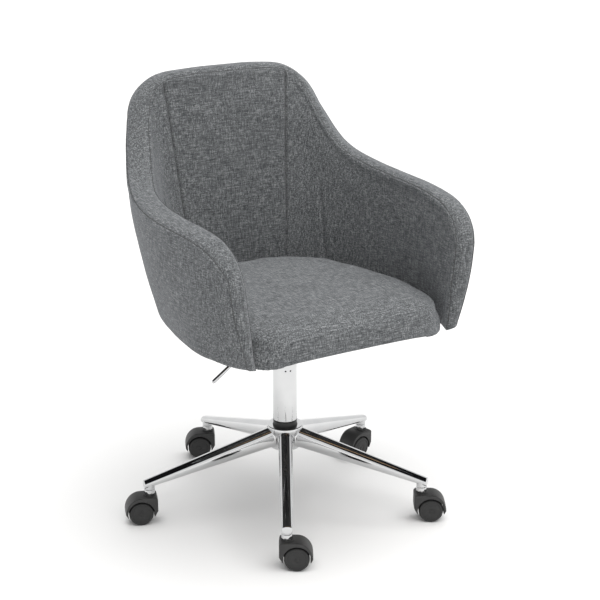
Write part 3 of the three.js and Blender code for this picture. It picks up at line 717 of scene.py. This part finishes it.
def crowded(low, high, count, centres, reach, gain):
    """count + 1 values from low to high, packed closer near each centre, with one value on each centre."""
    x = np.linspace(low, high, 8001)
    weight = 1 + sum(gain * np.exp(-((x - centre) / reach) ** 2) for centre in centres)
    total = np.concatenate([[0], np.cumsum((weight[1:] + weight[:-1]) / 2)])
    out = np.interp(np.linspace(0, total[-1], count + 1), total, x)
    for centre in centres:
        out[np.argmin(np.abs(out - centre))] = centre
    return out


def grid_normals(points):
    return unit(np.cross(np.gradient(points, axis=0), np.gradient(points, axis=1)))


def soft_noise(points, size, seed):
    """Smooth noise over points in mm, with features of about the given size."""
    shift = Vector((seed * 17.3, seed * 5.1, seed * 9.7))
    values = [noise.noise(Vector(p) + shift) for p in points.reshape(-1, 3) / size]
    return np.array(values).reshape(points.shape[:-1])


def seam_dip(distance):
    """The section across a sewn seam: a narrow groove with the padding puffed up on both sides."""
    return 1.3 * np.exp(-((np.abs(distance) - 9) / 7) ** 2) - 2.5 * np.exp(-(distance / 1.7) ** 2)


BACK_SEAMS = (0.417, 0.583)
SIDE_CREASES = (0.332, 0.668)
REAR_SEAMS = (0.36, 0.64)
HEM_R, NOSE_HEM_R = 13.0, 5.0  # of the rounded foot, on the outer side and at the arms' front corners
BAND_CROWN = 8.5  # of the gusset, at the width of the rim
NOSE_SAG = 7.0  # how far the cover hangs below the frame at the arms' front corners
PANEL_VALLEY = 3.5  # how far the upright seams draw the crowned panels in


def wall_panel(side, t, v):
    """One face of the padded wall as a grid of points, with distances along the rim and up the wall."""
    inner = side == "inner"
    T, V = np.meshgrid(t, v, indexing="ij")
    base = wall(T, V, 0.0 if inner else 1.0)
    near_corner = smoothstep(-base[..., 1], 190, 255) * (1 - smoothstep(base[..., 2], 430, 490))
    base[..., 2] -= NOSE_SAG * near_corner
    run = lengths(base[:, len(v) // 2])[:, None] + 0 * T
    rise = np.cumsum(np.linalg.norm(np.diff(base, axis=1, prepend=base[:, :1]), axis=-1), axis=1)
    to_rim = rise[:, -1:] - rise
    edge = np.minimum(to_rim, np.minimum(run, run[-1] - run))
    lift = seam_dip(edge) * smoothstep(rise, 4, 26)
    for place in BACK_SEAMS if inner else REAR_SEAMS:
        across = run - np.interp(place, t, run[:, 0])
        valley = PANEL_VALLEY * np.exp(-np.abs(across) / 28)
        lift = lift + (0.75 * seam_dip(across) - valley) * smoothstep(to_rim, 0, 6)
    if inner:
        for place in SIDE_CREASES:
            across = run - np.interp(place, t, run[:, 0])
            fold = 1.5 * np.exp(-((np.abs(across) - 14) / 10) ** 2) - 1.8 * np.exp(-(across / 6) ** 2)
            lift = lift + fold * (1 - smoothstep(V, 0.4, 0.75))
        lift = lift + 3.5 * smoothstep(edge, 0, 70) * smoothstep(rise, 30, 120)
    else:
        lift = lift + 2.5 * smoothstep(edge, 0, 60)
        tuck = np.clip(1 - rise / HEM_R, 0, 1)
        lift = lift - HEM_R * (1 - np.sqrt(1 - 0.85 * tuck ** 2))
    seed = 1 if inner else 3
    lift = lift + 1.3 * soft_noise(base, 90, seed) + 0.45 * soft_noise(base, 28, seed + 1)
    points = base + grid_normals(base) * (lift if inner else -lift)[..., None]
    return points, run, rise


def band_panel(inner, outer):
    """The gusset band up one arm's front, along the rim and down the other arm's front."""
    a, b = (np.concatenate([p[0, :-1], p[:, -1], p[-1, -2::-1]]) for p in (inner, outer))
    run = lengths((a + b) / 2)
    away = unit(np.cross(np.gradient((a + b) / 2, axis=0), b - a))
    bell = np.exp(-np.linspace(-2, 2, 25) ** 2)
    spread = np.vstack([away[:1]] * 12 + [away] + [away[-1:]] * 12)
    away = unit(np.stack([np.convolve(spread[:, k], bell, "valid") for k in range(3)], 1))
    k = crowded(0, 1, 24, (0.0, 1.0), 0.06, 3.0)
    width = np.linalg.norm(b - a, axis=1)[:, None]
    across = k * width
    edge = np.minimum(across, width - across)
    to_foot = np.minimum(run, run[-1] - run)[:, None]
    lift = BAND_CROWN * (1 - np.abs(2 * k - 1) ** 2.6) * (width / WALL_RIM)
    lift = lift + seam_dip(edge) * smoothstep(edge, 0, 3)
    for corner in (len(inner[0]) - 1, len(a) - len(inner[0])):
        lift = lift + 0.6 * seam_dip(run - run[corner])[:, None] * smoothstep(edge, 0, 4)
    tuck = np.clip(1 - to_foot / NOSE_HEM_R, 0, 1)
    lift = lift - NOSE_HEM_R * (1 - np.sqrt(1 - 0.85 * tuck ** 2)) * smoothstep(edge, 0, 8)
    points = a[:, None] * (1 - k)[:, None] + b[:, None] * k[:, None]
    lift = lift + smoothstep(edge, 0, 12) * 0.8 * soft_noise(points, 60, 5)
    return points + away[:, None] * lift[..., None]


def add_sheet(bm, points):
    """Adds a grid of points in mm."""
    rows, columns = points.shape[:2]
    verts = [bm.verts.new(p) for p in (points.reshape(-1, 3) * MM).tolist()]
    for i in range(rows - 1):
        for j in range(columns - 1):
            c = i * columns + j
            bm.faces.new([verts[k] for k in (c, c + 1, c + columns + 1, c + columns)])


def make_tub():
    t = crowded(0, 1, 400, BACK_SEAMS + SIDE_CREASES + REAR_SEAMS + (0.0, 1.0), 0.005, 7.0)
    v = crowded(0, 1, 70, (1.0, 0.0), 0.05, 6.0)
    inner, run_in, rise_in = wall_panel("inner", t, v)
    outer = wall_panel("outer", t, v)[0]
    bm = bmesh.new()
    for sheet in (inner, outer, band_panel(inner, outer)):
        add_sheet(bm, sheet)
    k = np.linspace(0, 1, 9)
    hem = outer[:, :1] * (1 - k)[:, None] + inner[:, :1] * k[:, None]
    hem[..., 2] -= 1.2 * np.sin(math.pi * k) * smoothstep(np.minimum(t, 1 - t), 0, 0.03)[:, None]
    add_sheet(bm, hem)
    bmesh.ops.remove_doubles(bm, verts=bm.verts, dist=0.02 * MM)
    open_edges = [e for e in bm.edges if len(e.link_faces) == 1]
    filled = bmesh.ops.holes_fill(bm, edges=open_edges, sides=0)["faces"]
    bmesh.ops.triangulate(bm, faces=filled)
    tub = piece("tub_upholstery", bm, FABRIC, "seat", "upholstery", "tub_shell", sharp=75)
    return t, inner, run_in, rise_in, outer


STITCH_PITCH, STITCH_LENGTH, STITCH_R = 4.2, 3.1, 0.38
STITCH_RISES = (-0.25, 0.05, 0.25, 0.05, -0.25)  # above the cover, at five places along a stitch
STITCH_SHARES = (0.3, 0.9, 1, 0.9, 0.3)  # of the radius, at the same places
# Radius of the dark seam cords that paint the seam grooves' shade.
SEAM_SHADOW_CORD_R = 0.6
TWIN_NEEDLE = 3.2  # from the seam to each row of stitches


def thread_ring(middle, side, normal, radius, sides=6):
    """One ring of a thread's round section."""
    turns = [2 * math.pi * k / sides for k in range(sides)]
    return [middle + (side * math.cos(a) + normal * math.sin(a)) * radius for a in turns]


def add_stitches(bm, path, out):
    """Short raised threads along a path of points in mm, sunk a little into the cover at both ends."""
    run = lengths(path)
    for start in np.arange(STITCH_PITCH, run[-1] - STITCH_PITCH, STITCH_PITCH):
        spots = [start + STITCH_LENGTH * s for s in (-0.5, -0.42, 0.0, 0.42, 0.5)]
        centres = [np.array([np.interp(s, run, path[:, k]) for k in range(3)]) for s in spots]
        lifted = [np.array([np.interp(s, run, out[:, k]) for k in range(3)]) for s in spots]
        way = unit(centres[-1] - centres[0])
        rings = []
        for centre, normal, rise, share in zip(centres, lifted, STITCH_RISES, STITCH_SHARES):
            side = np.cross(way, normal)
            middle = centre + normal * rise
            rings.append(thread_ring(middle, side, normal, STITCH_R * share))
        add_rings(bm, rings)


def add_seam_shadow_cord(bm, path, out):
    """A dark cord that lies along a seam's path of points in mm, with the cover's normals beside it: a thread line
    that also paints the shade in the seam's groove.
    """
    ways = unit(np.gradient(path, axis=0))
    rings = []
    for centre, way, normal in zip(path, ways, out):
        rings.append(thread_ring(centre, np.cross(way, normal), normal, SEAM_SHADOW_CORD_R))
    add_rings(bm, rings)


def make_stitching(t, inner, run, rise, outer):
    """The dark cords along the inner back's and rim's seams, which paint the shade of their grooves, and twin rows
    of stitches beside the back's seams.
    """
    normals = grid_normals(inner)
    bm = bmesh.new()
    for place in BACK_SEAMS:
        seam = np.interp(place, t, run[:, 0])
        for offset in (-TWIN_NEEDLE, TWIN_NEEDLE):
            column = np.interp(seam + offset, run[:, 0], np.arange(len(t)))
            i, w = int(column), column - int(column)
            path = inner[i] * (1 - w) + inner[i + 1] * w
            out = normals[i] * (1 - w) + normals[i + 1] * w
            shown = rise[i] > SEAT_LEVEL - TUB_BOTTOM
            add_stitches(bm, path[shown], out[shown])
    piece("tub_stitching", bm, THREAD, "seat", "upholstery", sharp=80)
    # Dark cords along the back's seams and the rim's seams paint the shade of their grooves.
    bm = bmesh.new()
    shown = rise[0] > SEAT_LEVEL - TUB_BOTTOM
    for place in BACK_SEAMS:
        i = int(np.argmin(np.abs(t - place)))
        add_seam_shadow_cord(bm, inner[i][shown], normals[i][shown])
    for sheet, side in ((inner, 1), (outer, -1)):
        out = unit(side * grid_normals(sheet)[:, -1] + (0, 0, 1))
        add_seam_shadow_cord(bm, sheet[:, -1], out)
        for end in (0, -1):
            add_seam_shadow_cord(bm, sheet[end], unit(side * grid_normals(sheet)[end] - (0, 1, 0)))
    piece("tub_seam_shadow_cords", bm, SEAM_SHADOW_CORD, "seat", "upholstery", sharp=80)


# ---------------------------------------------------------------- seat cushion, in mm
CUSHION_FRONT, BOARD_TOP = -283.0, 443.0
PAD_MIDDLE = (0.0, -40.0)
CORNER_X = 200.0
CORNER_SAG = 9.0  # how far the front corners hang below the lip
CORNER_GAP = 0.035  # share of the width that the front corners keep from the arms
# Levels as (height, inset at the sides, inset at the front), from the board's pocket round to the crown.
PAD_LEVELS = [
    (BOARD_TOP + 1.2, 11, 14), (430, 10.5, 13.5), (423, 8, 10), (422.5, 5, 6), (427, 3.5, 2.5),
    (438, 3, 1.5), (458, 3, 2), (469, 3.5, 4), (478, 6, 9), (485, 13, 20), (489.5, 29, 45), (491.5, 60, 85),
    (492.5, 108, 130),
]
PAD_VOXEL = 6.0 * MM
PAD_PRESSURE, PAD_FRAMES = 4.0, 20
PAD_SWELL = 7.0  # the most that a point moves
CROWN_LEVEL = 466.0  # above it the crown gets extra smoothing
FOLD_X, FOLD_PITCH, FOLD_DEPTH = 205.0, 3.4, 1.1


def seat_outline(side_inset, front_inset, sides=90, fronts=56):
    """The seat's plan outline, counter-clockwise: along the wall's foot, then bowed out across the front."""
    edge = wall(np.linspace(0.03, 0.97, sides + 1), 0, 0)[:, :2]
    line = edge + unit(np.array(PAD_MIDDLE) - edge) * side_inset
    half, corner = line[-1, 0], line[-1, 1] + 0.2 * front_inset
    x = half * (1 - 2 * np.arange(1, fronts) / fronts)
    bow = 1 - np.abs(x / half) ** 8
    front = np.stack([x, corner + (CUSHION_FRONT + front_inset - corner) * bow], 1)
    return np.vstack([line, front])[::-1]


def pad_ring(z, side, front):
    """A ring of the cushion. Below the board's underside only the front lip hangs down."""
    outline = seat_outline(side, front)
    lip = smoothstep(-outline[:, 1], 231, 253)
    height = max(z, TUB_BOTTOM + 1) * (1 - lip) + z * lip
    near_corner = np.exp(-((np.abs(outline[:, 0]) - CORNER_X) / 40) ** 2)
    height = height - CORNER_SAG * (lip * (1 - smoothstep(z, 430, 450)) * near_corner)
    open_share = smoothstep(z, 430, 448) * (1 - smoothstep(z, 466, 482))
    outline[:, 0] *= 1 - CORNER_GAP * open_share * smoothstep(-outline[:, 1], 215, 240)
    return [(x, y, h) for (x, y), h in zip(outline, height)]


def swollen(obj):
    """The evaluated points of a remeshed copy before and after a short inflation, and its faces."""
    scene = bpy.context.scene
    remesh = obj.modifiers.new("remesh", "REMESH")
    remesh.mode, remesh.voxel_size = "VOXEL", PAD_VOXEL
    depsgraph = bpy.context.evaluated_depsgraph_get()
    mesh = bpy.data.meshes.new_from_object(obj.evaluated_get(depsgraph))
    obj.modifiers.clear()
    obj.data = mesh
    before = np.array([v.co for v in mesh.vertices])
    pinned = obj.vertex_groups.new(name="pinned")
    low = [i for i, p in enumerate(before) if p[2] < (BOARD_TOP + 4) * MM and p[1] > -0.255]
    pinned.add(low, 1.0, "REPLACE")
    cloth = obj.modifiers.new("cloth", "CLOTH")
    settings = cloth.settings
    settings.vertex_group_mass = "pinned"
    settings.use_pressure = True
    settings.uniform_pressure_force = PAD_PRESSURE
    settings.effector_weights.gravity = 0.0
    settings.quality = 4
    cloth.collision_settings.use_collision = False
    after = before
    for number in range(1, PAD_FRAMES + 1):
        scene.frame_set(number)
    shown = obj.evaluated_get(bpy.context.evaluated_depsgraph_get())
    after = np.array([v.co for v in shown.data.vertices])
    scene.frame_set(1)
    obj.modifiers.clear()
    return mesh, before, after


def make_cushion():
    bm = bmesh.new()
    add_rings(bm, [pad_ring(*level) for level in PAD_LEVELS])
    bmesh.ops.recalc_face_normals(bm, faces=bm.faces)
    mesh = bpy.data.meshes.new("pad_form")
    bm.to_mesh(mesh)
    bm.free()
    form = bpy.data.objects.new("pad_form", mesh)
    bpy.context.scene.collection.objects.link(form)
    mesh, before, after = swollen(form)
    move = (after - before) / MM
    size = np.linalg.norm(move, axis=1, keepdims=True)
    move *= np.minimum(1, PAD_SWELL / (size + 1e-9))
    points = before / MM + move
    # The crown is a little uneven, and the cover is pulled into short folds at the front corners.
    top = smoothstep(points[:, 2], 455, 480)
    points[:, 2] += top * (1.6 * soft_noise(points, 110, 7) + 0.5 * soft_noise(points, 36, 8))
    across = np.abs(points[:, 0]) - FOLD_X
    corner = np.exp(-(across / 14) ** 2) * smoothstep(-points[:, 1], 225, 250)
    fold = np.sin(across / FOLD_PITCH) * (1 - smoothstep(points[:, 2], 440, 474))
    points[:, 1] -= FOLD_DEPTH * corner * fold
    mesh.vertices.foreach_set("co", (points * MM).ravel())
    bm = bmesh.new()
    bm.from_mesh(mesh)
    bpy.data.objects.remove(form)
    crown = [vert for vert in bm.verts if vert.co.z > CROWN_LEVEL * MM]
    axes = {"use_axis_x": True, "use_axis_y": True, "use_axis_z": True}
    for verts, rounds in ((list(bm.verts), 4), (crown, 12)):
        for _ in range(rounds):
            bmesh.ops.smooth_vert(bm, verts=verts, factor=0.5, **axes)
    bmesh.ops.subdivide_edges(bm, edges=bm.edges, cuts=1, use_grid_fill=True, smooth=1.0)
    pad = piece("seat_pad", bm, FABRIC, "seat", "upholstery", "seat_cushion", sharp=80)


# ---------------------------------------------------------------- the chair
make_camera()
make_world()
sun("overhead", 25, 78, 80, 4.75, (1, 0.995, 0.985))
sun("front", 0, 35, 80, 0.15, (1, 1, 1))
sun("rear", 150, 50, 80, 0.5, (0.98, 0.99, 1))
make_floor()
dress_cad_nodes()
make_base()
make_casters()
make_lift()
make_lever()
make_stitching(*make_tub())
make_cushion()
